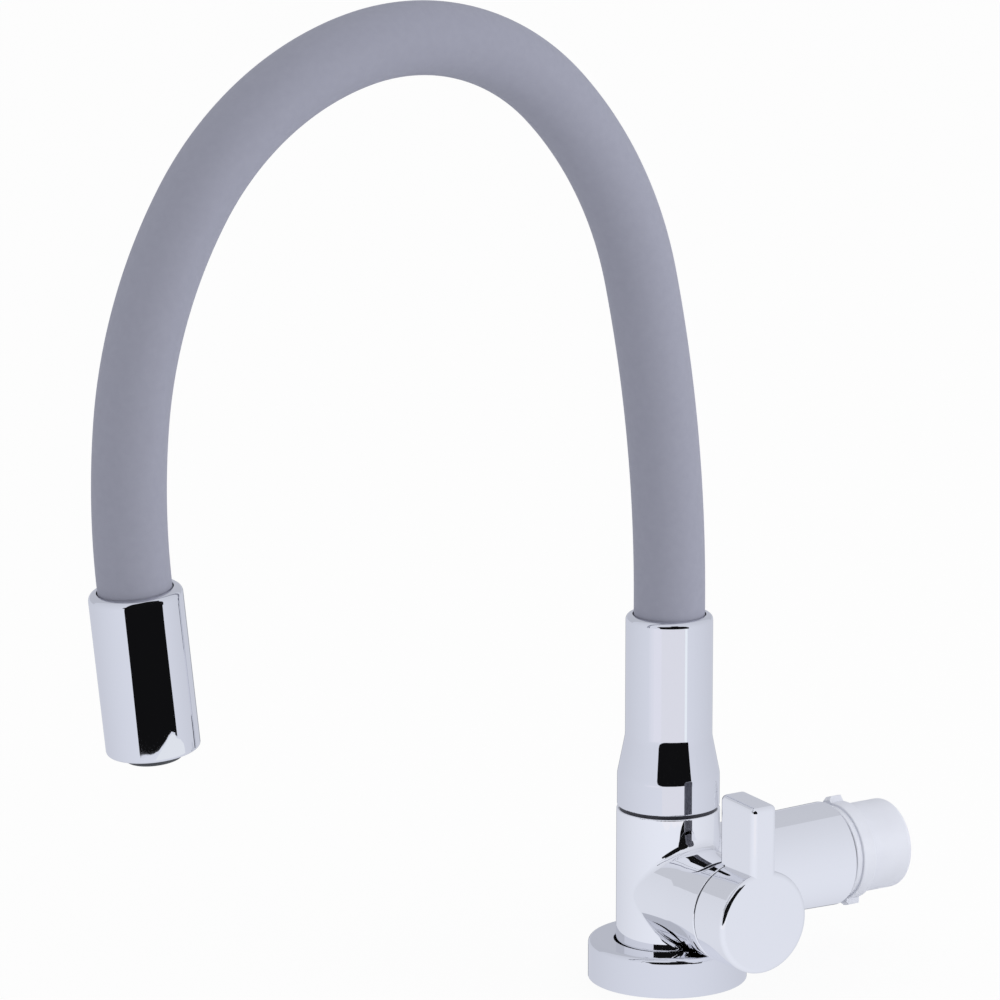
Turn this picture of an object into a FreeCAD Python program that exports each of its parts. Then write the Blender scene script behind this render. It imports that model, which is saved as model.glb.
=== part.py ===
import FreeCAD, Part
import math
import os

from FreeCAD import Placement, Rotation, Vector

# Wall-mounted kitchen tap with a flexible spout. All sizes are in millimetres.
# The origin is on the inlet's axis, at the shoulder between the adapter's collar and its spigot.
# +Y runs along the inlet into the wall, +Z is up, the spout reaches towards -Y, the handle is on +X.

# Body casting: a column with a valve branch on +X and an inlet branch on +Y
COLUMN_R = 15.0             # column, outside; the valve branch's mouth is as wide
COLUMN_RISE = 23.05         # inlet axis to the column's top face
COLUMN_DROP = 27.35         # inlet axis to the column's foot
BRANCH_STEP = 0.4           # a branch is this much slimmer than the column where it leaves it
BRANCH_RUN = 5.0            # straight stretch of a branch outside the column, before it widens
BRANCH_EASE = 60.0          # rounding where it begins to widen
BRANCH_FILLET = 2.5         # blend between a branch and the column
VALVE_DROP = 0.5            # the valve's axis lies this much lower than the inlet's
BARREL_REACH = 33.7         # column axis to the valve branch's mouth
INLET_REACH = 57.2          # column axis to the inlet branch's end face
INLET_END_R = 15.4          # inlet branch at its end face
EDGE_BREAK = 0.4            # small rounding on cast and turned edges

# Waterway in the casting
WATER_R = 5.5               # inlet bore
SEAT_X = 8.0                # column axis to the valve seat
SEAT_BORE_R = 4.5           # hole in the valve seat
RISER_R = 2.5               # passage from the valve chamber up to the swivel socket
RISER_X = 8.5               # column axis to the passage
SOCKET_R = 10.4             # swivel socket in the column's top
SOCKET_WALL = 2.5           # metal between the valve chamber and the socket's floor

# Foot flange and the rubber ring that grips the column
FOOT_R = 23.1               # outside
FOOT_H = 11.7               # height
FOOT_REST = 0.6             # the flange stands this much lower than the column's foot
FOOT_GAP = 0.6              # open gap round the column
FOOT_NECK = 2.6             # wall of the flange's inner neck
FOOT_WALL = 2.2             # wall of the flange's rim and top
FOOT_ROUND = 1.6            # rounding of the rim's top edge
GRIP_H = 3.0                # grip ring, height
GRIP_SINK = 1.0             # depth of the ring's groove in the neck
GRIP_DEPTH = 5.5            # flange top to the ring's groove

# Inlet adapter: half-inch nipple, neck, collar with two lugs, three-quarter-inch spigot
THREAD_HALF_R = 10.48       # half-inch pipe thread, outside
THREAD_THREE_QUARTER_R = 13.22
GASKET_T = 1.2              # face seal between the inlet branch and the adapter's neck
GASKET_SINK = 1.8           # the seal is set back this far from the branch's edge
COLLAR_NECK = 2.0           # neck between the seal and the collar, along the axis
COLLAR_NECK_R = 13.9
COLLAR_R = 14.5
COLLAR_T = 4.6              # collar, along the axis
LUG_R = 16.2                # spigot axis to a lug's top
LUG_W = 2.4                 # lug, across its top
LUG_FLANK = 24.0            # slope of its flanks, degrees
LUG_BEVEL = 1.0             # bevel on the lugs' edges that face the tap
LUG_TURN = 17.0             # turn of the lugs from upright, degrees
SPIGOT_LENGTH = 14.4
SPIGOT_ROUND = 1.5          # rounding at the spigot's end
NIPPLE_LENGTH = 12.0
ADAPTER_BORE_R = 6.5

# Quarter-turn headwork in the valve branch
SEAL_T = 2.0                # seat seal, thickness
DISC_R = 7.4                # ceramic discs
DISC_T = 3.0
PORT_R = 2.0                # ports in the discs
PORT_OFFSET = 4.2           # disc axis to a port
DRIVER_T = 3.0              # spindle's driving plate
CUP_WALL = 1.5              # headwork's wall round the discs
WINDOW_W = 6.0              # side windows that let the water out of the headwork
WINDOW_H = 4.5
SHOULDER_T = 1.5            # solid stretch above the driving plate, before the thread
MOUTH_WALL = 2.5            # branch wall round the headwork's hex
MOUTH_DEPTH = 4.0
BONNET_T = 3.0              # headwork's hex
BONNET_GAP = 0.3            # hex corners to the mouth's wall
NECK_R = 6.5                # headwork's neck round the spindle
NECK_OUT = 1.6              # the neck stands this far out of the branch's mouth
SPINDLE_R = 4.0
SPINDLE_FLAT = 3.2          # spindle axis to its driving flat
CLIP_T = 0.8                # spindle's spring clip
CLIP_R = 6.0
CLIP_GROOVE = 0.8           # depth of the clip's groove
CLIP_OPEN = 60.0            # open angle of a spring clip, degrees

# Lever handle
HUB_GAP = 0.3               # running gap between the branch's mouth and the hub
HUB_DEPTH = 13.5
HUB_WALL = 3.0
HUB_FRONT = 3.6             # front wall
HUB_ROUND = 1.5             # rounding of the front edge
BOSS_R = 6.8                # boss that takes the spindle
BOSS_GAP = 0.4              # clip to the boss
LEVER_W = 8.5
LEVER_TOP_BACK = 35.1       # valve axis to the lever's top, at its back edge
LEVER_TOP_FRONT = 34.2      # the top slopes down to its front edge
LEVER_ROUND = 1.75
LEVER_OVERHANG = 2.9        # the lever's back stands over the branch by this much
LEVER_LIFT = 0.4            # gap between the branch and the lever over it
SCREW_R = 2.0               # grub screw
SCREW_LENGTH = 4.0
SCREW_KEY = 2.0             # hexagon socket, across flats
SCREW_ACCESS_R = 2.4        # hole in the hub for the key

# Swivel foot of the spout
GLIDE_T = 0.85              # plastic ring between the column and the sleeve
GLIDE_SINK = 0.9            # its edge lies back from the column's face
SLEEVE_H = 56.6
SLEEVE_STEP = 0.15          # the skirt is this much slimmer than the column
SLEEVE_WALL = 2.0           # upper part
SKIRT_WALL = 2.6            # lower part, round the spigot's collar
SKIRT_H = 9.5               # straight stretch above the column
FLARE_H = 11.25             # stretch where the sleeve draws in
FLARE_ROUND = 8.5
RIM_FLAT = 0.3              # flat ring left at the mouths round the hose, inside their rounding
SPIGOT_COLLAR_H = 13.4      # swivel spigot's collar in the skirt
SPIGOT_BORE_R = 3.4
SPIGOT_FUNNEL = 2.0         # depth of the hollow under the spigot
SPIGOT_FUNNEL_WALL = 2.4
SWIVEL_CLIP_T = 1.4
SWIVEL_CLIP_DEPTH = 2.0     # column's top face to the clip's groove
SWIVEL_CLIP_GROOVE = 1.0    # depth of the groove in the socket and in the spigot
TAIL_LENGTH = 18.0          # hose tails at both ends
TAIL_GAP = 0.1              # tail in the water tube

# Hose: silicone cover, bendable core and water tube
HOSE_R = 10.3
HOSE_WALL = 1.9
CORE_WALL = 1.2
TUBE_WALL = 2.0
LAYER_GAP = 0.2             # between the layers
HOSE_GAP = 0.3              # hose in its sleeve and in the nozzle
HOSE_STAND = 4.1            # straight stretch above the sleeve

# Bends of the hose from the sleeve to the nozzle: radius and angle of each
REAR_LEG_R = 431.0
REAR_LEG_ANGLE = 12.8       # degrees
REAR_SHOULDER_R = 112.5
REAR_SHOULDER_ANGLE = 31.8  # degrees
CROWN_R = 69.4
CROWN_ANGLE = 58.0          # degrees
FRONT_SHOULDER_R = 85.8
FRONT_SHOULDER_ANGLE = 45.0 # degrees
FRONT_KNEE_R = 132.2
FRONT_KNEE_ANGLE = 27.0     # degrees
FRONT_LEG_R = 215.6
FRONT_LEG_ANGLE = 12.0      # degrees
NOZZLE_RUN = 0.35           # straight stretch above the nozzle

# Nozzle and aerator, measured along the outflow from the nozzle's top rim
NOZZLE_WALL = 2.4
NOZZLE_LENGTH = 46.0
NOZZLE_ROUND = 1.0          # rounding of the lower rim
HOSE_SEAT = 22.0            # depth of the hose in the nozzle
FITTING_T = 8.0             # outlet fitting's collar
AERATOR_STEP = 1.0          # ledge that the fitting's collar stands on
WASHER_T = 1.5
WASHER_RING = 3.5           # washer, across its ring
AERATOR_OUT = 2.5           # the aerator stands this far out of the nozzle
AERATOR_WALL = 1.5
AERATOR_LIP = 1.6           # the lip is this much slimmer than the thread
AERATOR_ROUND = 0.6         # rounding of the lip
INSERT_T = 9.0
INSERT_RECESS = 1.2         # insert above the aerator's lip
JET_R = 0.7                 # holes in the insert
JET_PITCH = 2.4
JET_RINGS = 2

# Fits
RUN_GAP = 0.05              # radial running gap of turning pieces
FACE_GAP = 0.05             # between flat faces that slide on each other
SCREWED_GAP = 0.02          # between pieces that are screwed or pressed together
END_GAP = 0.1               # between the hose's ends and their fittings
FLOOR_GAP = 0.3             # under the swivel spigot

# Seals: cross-section radius of each ring and the play beside it in its groove
SPINDLE_ORING = 0.55
SWIVEL_ORING = 0.8
BONNET_ORING = 0.95
ORING_PLAY = 0.25

COLUMN_Y = -(INLET_REACH + GASKET_T + COLLAR_NECK + COLLAR_T)
BRANCH_ROOT_R = COLUMN_R - BRANCH_STEP
MOUTH_R = COLUMN_R - MOUTH_WALL
MOUTH_FLOOR = BARREL_REACH - MOUTH_DEPTH
SOCKET_FLOOR = THREAD_HALF_R + SOCKET_WALL
COLUMN_POINT = Vector(0, COLUMN_Y, 0)
UP = Vector(0, 0, 1)
VALVE_POINT = COLUMN_POINT - UP * VALVE_DROP
OUT_OF_VALVE = Vector(1, 0, 0)
INTO_WALL = Vector(0, 1, 0)


def outline(corners):
    """Closed wire through (radius, height, rounding) corners, each rounded by its own radius."""
    points = [Vector(radius, 0, height) for radius, height, rounding in corners]
    count = len(points)
    spans = []
    for index, here in enumerate(points):
        rounding = corners[index][2]
        before = (points[index - 1] - here).normalize()
        after = (points[(index + 1) % count] - here).normalize()
        if rounding == 0:
            spans.append((here, None, here))
            continue
        half = before.getAngle(after) / 2
        middle = (before + after).normalize()
        reach = rounding / math.tan(half)
        centre = here + middle * (rounding / math.sin(half))
        spans.append((here + before * reach, centre - middle * rounding, here + after * reach))
    edges = []
    for index, (start, middle, end) in enumerate(spans):
        if middle is not None:
            edges.append(Part.Arc(start, middle, end).toShape())
        following = spans[(index + 1) % count][0]
        if end.distanceToPoint(following) > 1e-6:
            edges.append(Part.LineSegment(end, following).toShape())
    return Part.Wire(edges)


def turned(corners, origin, axis):
    """Solid of revolution of an outline, standing on origin along axis."""
    solid = Part.Face(outline(corners)).revolve(Vector(0, 0, 0), UP, 360)
    solid.Placement = Placement(origin, Rotation(UP, axis))
    return solid


def tube(outer, inner, start, end, origin, axis):
    """Plain tube or, with inner 0, a plain bar between two heights on an axis."""
    corners = [(inner, start, 0), (outer, start, 0), (outer, end, 0), (inner, end, 0)]
    return turned(corners, origin, axis)


def seal_ring(groove_r, section, height, origin, axis):
    """Round rubber ring lying on a groove's floor."""
    ring = Part.makeTorus(groove_r + section, section)
    ring.Placement = Placement(origin + axis * height, Rotation(UP, axis))
    return ring


def hexagon(flats, start, end, origin, axis):
    """Hexagonal prism along an axis, with two of its flats square to the frame's X axis."""
    corner = flats / math.sqrt(3)
    turns = [math.radians(30 + 60 * side) for side in range(7)]
    ring = [Vector(corner * math.cos(turn), corner * math.sin(turn), start) for turn in turns]
    prism = Part.Face(Part.makePolygon(ring)).extrude(Vector(0, 0, end - start))
    prism.Placement = Placement(origin, Rotation(UP, axis))
    return prism


def open_clip(inner, outer, start, end, origin, axis):
    """Spring clip: a flat ring with a gap on one side."""
    ring = tube(outer, inner, start, end, origin, axis)
    half_gap = outer * math.tan(math.radians(CLIP_OPEN / 2))
    mouth = Part.makePolygon([Vector(0, 0, start), Vector(2 * outer, -2 * half_gap, start),
                              Vector(2 * outer, 2 * half_gap, start), Vector(0, 0, start)])
    wedge = Part.Face(mouth).extrude(Vector(0, 0, end - start))
    wedge.Placement = Placement(origin, Rotation(UP, axis))
    return ring.cut(wedge)


def body_casting():
    column = turned([(0, -COLUMN_DROP, 0), (COLUMN_R, -COLUMN_DROP, EDGE_BREAK),
                     (COLUMN_R, COLUMN_RISE, EDGE_BREAK), (0, COLUMN_RISE, 0)], COLUMN_POINT, UP)
    widening = COLUMN_R + BRANCH_RUN
    barrel = turned([(0, 0, 0), (BRANCH_ROOT_R, 0, 0), (BRANCH_ROOT_R, widening, BRANCH_EASE),
                     (COLUMN_R, BARREL_REACH, EDGE_BREAK), (0, BARREL_REACH, 0)], VALVE_POINT, OUT_OF_VALVE)
    inlet = turned([(0, 0, 0), (BRANCH_ROOT_R, 0, 0), (BRANCH_ROOT_R, widening, BRANCH_EASE),
                    (INLET_END_R, INLET_REACH, EDGE_BREAK), (0, INLET_REACH, 0)], COLUMN_POINT, INTO_WALL)
    body = column.fuse([barrel, inlet]).removeSplitter()
    body = body.makeFillet(BRANCH_FILLET, branch_joints(body))
    return body.cut(waterway())


def branch_joints(body):
    """Edges where a branch leaves the column."""
    edges = []
    for edge in body.Edges:
        points = edge.discretize(9)
        radii = [math.hypot(point.x, point.y - COLUMN_Y) for point in points]
        on_column = max(abs(radius - COLUMN_R) for radius in radii) < 0.01
        if on_column and max(abs(point.z) for point in points) < COLUMN_RISE - EDGE_BREAK:
            edges.append(edge)
    return edges


def waterway():
    """Inlet socket and bore, valve seat and chamber, riser and swivel socket, as one tool."""
    inlet_end = INLET_REACH - NIPPLE_LENGTH - FLOOR_GAP
    bore = tube(WATER_R, 0, -WATER_R, INLET_REACH, COLUMN_POINT, INTO_WALL)
    inlet_socket = tube(THREAD_HALF_R, 0, inlet_end, INLET_REACH, COLUMN_POINT, INTO_WALL)
    seat_bore = tube(SEAT_BORE_R, 0, 0, SEAT_X, VALVE_POINT, OUT_OF_VALVE)
    chamber = tube(THREAD_HALF_R, 0, SEAT_X, BARREL_REACH, VALVE_POINT, OUT_OF_VALVE)
    mouth = tube(MOUTH_R, 0, MOUTH_FLOOR, BARREL_REACH, VALVE_POINT, OUT_OF_VALVE)
    riser_foot = COLUMN_POINT + Vector(RISER_X, 0, 0)
    riser = tube(RISER_R, 0, THREAD_HALF_R - SOCKET_WALL, SOCKET_FLOOR, riser_foot, UP)
    socket = tube(SOCKET_R, 0, SOCKET_FLOOR, COLUMN_RISE, COLUMN_POINT, UP)
    groove_top = COLUMN_RISE - SWIVEL_CLIP_DEPTH
    groove = tube(SOCKET_R + SWIVEL_CLIP_GROOVE, 0, groove_top - SWIVEL_CLIP_T - 2 * FACE_GAP, groove_top,
                  COLUMN_POINT, UP)
    return bore.fuse([inlet_socket, seat_bore, chamber, mouth, riser, socket, groove])


def foot_flange():
    """Hollow ring with a neck round the column and a groove for the grip ring."""
    base = -COLUMN_DROP - FOOT_REST
    top = base + FOOT_H
    hole = COLUMN_R + FOOT_GAP
    neck = hole + FOOT_NECK
    groove_top = top - GRIP_DEPTH
    groove_base = groove_top - GRIP_H
    corners = [(FOOT_R - FOOT_WALL, base, 0), (FOOT_R, base, EDGE_BREAK), (FOOT_R, top, FOOT_ROUND),
               (hole, top, EDGE_BREAK), (hole, groove_top, 0), (hole + GRIP_SINK, groove_top, 0),
               (hole + GRIP_SINK, groove_base, 0), (hole, groove_base, 0), (hole, base + FOOT_REST, 0),
               (neck, base + FOOT_REST, 0), (neck, top - FOOT_WALL, 0),
               (FOOT_R - FOOT_WALL, top - FOOT_WALL, 0)]
    return turned(corners, COLUMN_POINT, UP)


def flange_grip_ring():
    groove_top = -COLUMN_DROP - FOOT_REST + FOOT_H - GRIP_DEPTH
    outer = COLUMN_R + FOOT_GAP + GRIP_SINK - SCREWED_GAP
    return tube(outer, COLUMN_R + SCREWED_GAP, groove_top - GRIP_H + FACE_GAP, groove_top - FACE_GAP,
                COLUMN_POINT, UP)


def inlet_gasket():
    return tube(INLET_END_R - GASKET_SINK, THREAD_HALF_R, INLET_REACH, INLET_REACH + GASKET_T,
                COLUMN_POINT, INTO_WALL)


def inlet_adapter():
    """White moulding: nipple into the inlet branch, neck, collar, spigot into the wall's pipe."""
    shoulder = Vector(0, 0, 0)
    nipple_r = THREAD_HALF_R - SCREWED_GAP
    neck_start = -COLLAR_T - COLLAR_NECK
    nipple_start = neck_start - GASKET_T - NIPPLE_LENGTH
    stem = turned([(0, nipple_start, 0), (nipple_r, nipple_start, EDGE_BREAK), (nipple_r, neck_start, 0),
                   (COLLAR_NECK_R, neck_start, EDGE_BREAK), (COLLAR_NECK_R, -COLLAR_T, 0),
                   (COLLAR_R, -COLLAR_T, EDGE_BREAK), (COLLAR_R, 0, EDGE_BREAK),
                   (THREAD_THREE_QUARTER_R, 0, 0), (THREAD_THREE_QUARTER_R, SPIGOT_LENGTH, SPIGOT_ROUND),
                   (0, SPIGOT_LENGTH, 0)], shoulder, INTO_WALL)
    bore = tube(ADAPTER_BORE_R, 0, nipple_start, SPIGOT_LENGTH, shoulder, INTO_WALL)
    return stem.fuse([collar_lug(-LUG_TURN), collar_lug(180 - LUG_TURN)]).removeSplitter().cut(bore)


def collar_lug(turn):
    """Grip on the adapter's collar: a bar with sloping flanks and a round top, turned from upright."""
    root_r = THREAD_THREE_QUARTER_R
    half_top = LUG_W / 2
    half_root = half_top + (LUG_R - root_r) * math.tan(math.radians(LUG_FLANK))
    section = [(-half_root, root_r), (half_root, root_r), (half_top, LUG_R), (-half_top, LUG_R)]
    ring = [Vector(x, -COLLAR_T, z) for x, z in section + section[:1]]
    bar = Part.Face(Part.makePolygon(ring)).extrude(Vector(0, COLLAR_T, 0))
    blank = turned([(0, -COLLAR_T, 0), (LUG_R - LUG_BEVEL, -COLLAR_T, 0), (LUG_R, LUG_BEVEL - COLLAR_T, 0),
                    (LUG_R, 0, 0), (0, 0, 0)], Vector(0, 0, 0), INTO_WALL)
    lug = bar.common(blank)
    lug.rotate(Vector(0, 0, 0), INTO_WALL, turn)
    return lug


# Places along the valve's axis, from the column's axis outwards
FIXED_DISC_X = SEAT_X + SEAL_T
TURNING_DISC_X = FIXED_DISC_X + DISC_T + FACE_GAP
DRIVER_X = TURNING_DISC_X + DISC_T
CUP_END_X = DRIVER_X + DRIVER_T + FACE_GAP
THREAD_X = CUP_END_X + SHOULDER_T
BONNET_ORING_W = 2 * (BONNET_ORING + ORING_PLAY)
BONNET_END_X = MOUTH_FLOOR + BONNET_T
NECK_END_X = BARREL_REACH + NECK_OUT
CLIP_X = NECK_END_X + FACE_GAP
BOSS_X = CLIP_X + CLIP_T + BOSS_GAP
HUB_BACK_X = BARREL_REACH + HUB_GAP
HUB_FACE_X = HUB_BACK_X + HUB_DEPTH
HUB_FLOOR_X = HUB_FACE_X - HUB_FRONT
SPINDLE_END_X = HUB_FLOOR_X - FLOOR_GAP
CUP_R = DISC_R + RUN_GAP + CUP_WALL
SPINDLE_ORING_X = (CUP_END_X + MOUTH_FLOOR) / 2


def seat_seal():
    return tube(DISC_R, SEAT_BORE_R, SEAT_X, FIXED_DISC_X, VALVE_POINT, OUT_OF_VALVE)


def ceramic_disc(start, angle):
    """Ceramic disc with two ports on a diameter that lies at the given angle."""
    disc = tube(DISC_R, 0, start, start + DISC_T, VALVE_POINT, OUT_OF_VALVE)
    for side in (angle, angle + 180):
        turn = math.radians(side)
        port_axis = VALVE_POINT + Vector(0, math.cos(turn), math.sin(turn)) * PORT_OFFSET
        disc = disc.cut(tube(PORT_R, 0, start, start + DISC_T, port_axis, OUT_OF_VALVE))
    return disc


def cartridge_housing():
    """Headwork: cup round the discs with side windows, thread, seal groove, hex and neck."""
    groove_r = THREAD_HALF_R - 2 * BONNET_ORING
    groove_x = MOUTH_FLOOR - BONNET_ORING_W
    spindle_bore = SPINDLE_R + RUN_GAP
    cup_bore = DISC_R + RUN_GAP
    thread_r = THREAD_HALF_R - SCREWED_GAP
    corners = [(cup_bore, FIXED_DISC_X - SEAL_T / 2, 0), (CUP_R, FIXED_DISC_X - SEAL_T / 2, 0),
               (CUP_R, THREAD_X, 0), (thread_r, THREAD_X, 0), (thread_r, groove_x, 0),
               (groove_r, groove_x, 0), (groove_r, MOUTH_FLOOR, 0), (NECK_R, MOUTH_FLOOR, 0),
               (NECK_R, NECK_END_X, EDGE_BREAK), (spindle_bore, NECK_END_X, 0), (spindle_bore, CUP_END_X, 0),
               (cup_bore, CUP_END_X, 0)]
    housing = turned(corners, VALVE_POINT, OUT_OF_VALVE)
    flats = (MOUTH_R - BONNET_GAP) * math.sqrt(3)
    nut = hexagon(flats, MOUTH_FLOOR, BONNET_END_X, VALVE_POINT, OUT_OF_VALVE)
    nut = nut.cut(tube(spindle_bore, 0, MOUTH_FLOOR, BONNET_END_X, VALVE_POINT, OUT_OF_VALVE))
    window_corner = VALVE_POINT + Vector(DRIVER_X - WINDOW_H / 2, -WINDOW_W / 2, -CUP_R)
    window = Part.makeBox(WINDOW_H, WINDOW_W, 2 * CUP_R, window_corner)
    core = tube(cup_bore, 0, SEAT_X, CUP_END_X, VALVE_POINT, OUT_OF_VALVE)
    return housing.fuse(nut).removeSplitter().cut(window.cut(core))


def cartridge_oring():
    middle = MOUTH_FLOOR - BONNET_ORING_W / 2
    return seal_ring(THREAD_HALF_R - 2 * BONNET_ORING, BONNET_ORING - SCREWED_GAP, middle,
                     VALVE_POINT, OUT_OF_VALVE)


def spindle():
    """Stem with a driving plate, a seal groove, a clip groove and a flat for the handle."""
    seal_r = SPINDLE_R - 2 * SPINDLE_ORING
    seal_half = SPINDLE_ORING + ORING_PLAY
    clip_r = SPINDLE_R - CLIP_GROOVE
    corners = [(0, DRIVER_X, 0), (DISC_R, DRIVER_X, 0), (DISC_R, DRIVER_X + DRIVER_T, 0),
               (SPINDLE_R, DRIVER_X + DRIVER_T, 0), (SPINDLE_R, SPINDLE_ORING_X - seal_half, 0),
               (seal_r, SPINDLE_ORING_X - seal_half, 0), (seal_r, SPINDLE_ORING_X + seal_half, 0),
               (SPINDLE_R, SPINDLE_ORING_X + seal_half, 0), (SPINDLE_R, CLIP_X, 0), (clip_r, CLIP_X, 0),
               (clip_r, CLIP_X + CLIP_T, 0), (SPINDLE_R, CLIP_X + CLIP_T, 0),
               (SPINDLE_R, SPINDLE_END_X, EDGE_BREAK), (0, SPINDLE_END_X, 0)]
    stem = turned(corners, VALVE_POINT, OUT_OF_VALVE)
    flat = Part.makeBox(SPINDLE_END_X - BOSS_X, 2 * SPINDLE_R, SPINDLE_R,
                        VALVE_POINT + Vector(BOSS_X, -SPINDLE_R, -SPINDLE_FLAT - SPINDLE_R))
    return stem.cut(flat)


def spindle_oring():
    return seal_ring(SPINDLE_R - 2 * SPINDLE_ORING, SPINDLE_ORING, SPINDLE_ORING_X, VALVE_POINT, OUT_OF_VALVE)


def spindle_clip():
    return open_clip(SPINDLE_R - CLIP_GROOVE, CLIP_R, CLIP_X, CLIP_X + CLIP_T, VALVE_POINT, OUT_OF_VALVE)


SCREW_X = (BOSS_X + HUB_FLOOR_X) / 2


def lever_handle():
    """Hollow round hub with a straight lever rising from it, and a boss for the spindle."""
    hub = turned([(0, HUB_BACK_X, 0), (COLUMN_R, HUB_BACK_X, EDGE_BREAK), (COLUMN_R, HUB_FACE_X, HUB_ROUND),
                  (0, HUB_FACE_X, 0)], VALVE_POINT, OUT_OF_VALVE)
    back = HUB_BACK_X - LEVER_OVERHANG
    side = [(back, 0), (HUB_FACE_X, 0), (HUB_FACE_X, LEVER_TOP_FRONT), (back, LEVER_TOP_BACK), (back, 0)]
    profile = Part.makePolygon([VALVE_POINT + Vector(x, -LEVER_W / 2, z) for x, z in side])
    lever = Part.Face(profile).extrude(Vector(0, LEVER_W, 0))
    upper_edges = [edge for edge in lever.Edges if edge.CenterOfMass.z > EDGE_BREAK]
    lever = lever.makeFillet(LEVER_ROUND, upper_edges)
    lever = lever.cut(tube(COLUMN_R + LEVER_LIFT, 0, 0, HUB_BACK_X, VALVE_POINT, OUT_OF_VALVE))
    hub = hub.fuse(lever).removeSplitter()
    hollow = tube(COLUMN_R - HUB_WALL, BOSS_R, HUB_BACK_X, HUB_FLOOR_X, VALVE_POINT, OUT_OF_VALVE)
    relief = tube(BOSS_R, 0, HUB_BACK_X, BOSS_X, VALVE_POINT, OUT_OF_VALVE)
    stem = tube(SPINDLE_R + SCREWED_GAP, 0, BOSS_X, HUB_FLOOR_X, VALVE_POINT, OUT_OF_VALVE)
    key = Part.makeBox(HUB_DEPTH, 2 * COLUMN_R, COLUMN_R,
                       VALVE_POINT + Vector(BOSS_X, -COLUMN_R, -SPINDLE_FLAT - SCREWED_GAP))
    screw_axis = VALVE_POINT + Vector(SCREW_X, 0, 0)
    thread = tube(SCREW_R + SCREWED_GAP, 0, -BOSS_R, 0, screw_axis, UP)
    access = tube(SCREW_ACCESS_R, 0, -2 * COLUMN_R, -BOSS_R, screw_axis, UP)
    for tool in (hollow, relief, stem.common(key), thread, access):
        hub = hub.cut(tool)
    return hub


def handle_screw():
    """Grub screw under the spindle's flat, with a hexagon socket in its outer end."""
    tip = -SPINDLE_FLAT - SCREWED_GAP
    screw_axis = VALVE_POINT + Vector(SCREW_X, 0, 0)
    screw = tube(SCREW_R, 0, tip - SCREW_LENGTH, tip, screw_axis, UP)
    return screw.cut(hexagon(SCREW_KEY, tip - SCREW_LENGTH, tip - SCREW_LENGTH / 2, screw_axis, UP))


# Heights of the swivel, and the layers of the hose
SLEEVE_Z = COLUMN_RISE + GLIDE_T + FACE_GAP
SLEEVE_TOP = SLEEVE_Z + SLEEVE_H
SKIRT_R = COLUMN_R - SLEEVE_STEP
COLLAR_TOP = SLEEVE_Z + SPIGOT_COLLAR_H
CORE_R = HOSE_R - HOSE_WALL - LAYER_GAP
TUBE_R = CORE_R - CORE_WALL - LAYER_GAP
TUBE_BORE_R = TUBE_R - TUBE_WALL
JOURNAL_R = SOCKET_R - RUN_GAP
JOURNAL_Z = SOCKET_FLOOR + FLOOR_GAP
SWIVEL_ORING_Z = JOURNAL_Z + SPIGOT_FUNNEL + 2 * SWIVEL_ORING


def glide_ring():
    return tube(COLUMN_R - GLIDE_SINK, SOCKET_R, COLUMN_RISE, COLUMN_RISE + GLIDE_T, COLUMN_POINT, UP)


def swivel_sleeve():
    """Chromed ferrule: a skirt as wide as the column, drawn in to a slim sleeve round the hose."""
    bore = HOSE_R + HOSE_GAP
    slim = bore + SLEEVE_WALL
    skirt_bore = SKIRT_R - SKIRT_WALL
    corners = [(skirt_bore, SLEEVE_Z, 0), (SKIRT_R, SLEEVE_Z, EDGE_BREAK),
               (SKIRT_R, SLEEVE_Z + SKIRT_H, FLARE_ROUND), (slim, SLEEVE_Z + SKIRT_H + FLARE_H, FLARE_ROUND),
               (slim, SLEEVE_TOP, SLEEVE_WALL - RIM_FLAT), (bore, SLEEVE_TOP, RIM_FLAT / 2),
               (bore, COLLAR_TOP, 0), (skirt_bore, COLLAR_TOP, 0)]
    return turned(corners, COLUMN_POINT, UP)


def swivel_spigot():
    """Brass foot of the spout: journal with seal and clip grooves, collar in the skirt, hose tail."""
    collar_r = SKIRT_R - SKIRT_WALL - SCREWED_GAP
    tail_r = TUBE_BORE_R - TAIL_GAP
    funnel_r = SOCKET_R - SPIGOT_FUNNEL_WALL
    seal_r = JOURNAL_R - 2 * SWIVEL_ORING
    seal_half = SWIVEL_ORING + ORING_PLAY
    clip_r = SOCKET_R - SWIVEL_CLIP_GROOVE
    clip_top = COLUMN_RISE - SWIVEL_CLIP_DEPTH
    clip_base = clip_top - SWIVEL_CLIP_T - 2 * FACE_GAP
    corners = [(funnel_r, JOURNAL_Z, 0), (JOURNAL_R, JOURNAL_Z, EDGE_BREAK),
               (JOURNAL_R, SWIVEL_ORING_Z - seal_half, 0), (seal_r, SWIVEL_ORING_Z - seal_half, 0),
               (seal_r, SWIVEL_ORING_Z + seal_half, 0), (JOURNAL_R, SWIVEL_ORING_Z + seal_half, 0),
               (JOURNAL_R, clip_base, 0), (clip_r, clip_base, 0), (clip_r, clip_top, 0),
               (JOURNAL_R, clip_top, 0), (JOURNAL_R, SLEEVE_Z, 0), (collar_r, SLEEVE_Z, 0),
               (collar_r, COLLAR_TOP, 0), (tail_r, COLLAR_TOP, 0),
               (tail_r, COLLAR_TOP + TAIL_LENGTH, EDGE_BREAK), (SPIGOT_BORE_R, COLLAR_TOP + TAIL_LENGTH, 0),
               (SPIGOT_BORE_R, JOURNAL_Z + SPIGOT_FUNNEL, 0),
               (funnel_r, JOURNAL_Z + SPIGOT_FUNNEL, 0)]
    return turned(corners, COLUMN_POINT, UP)


def swivel_oring():
    return seal_ring(JOURNAL_R - 2 * SWIVEL_ORING, SWIVEL_ORING, SWIVEL_ORING_Z, COLUMN_POINT, UP)


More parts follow.
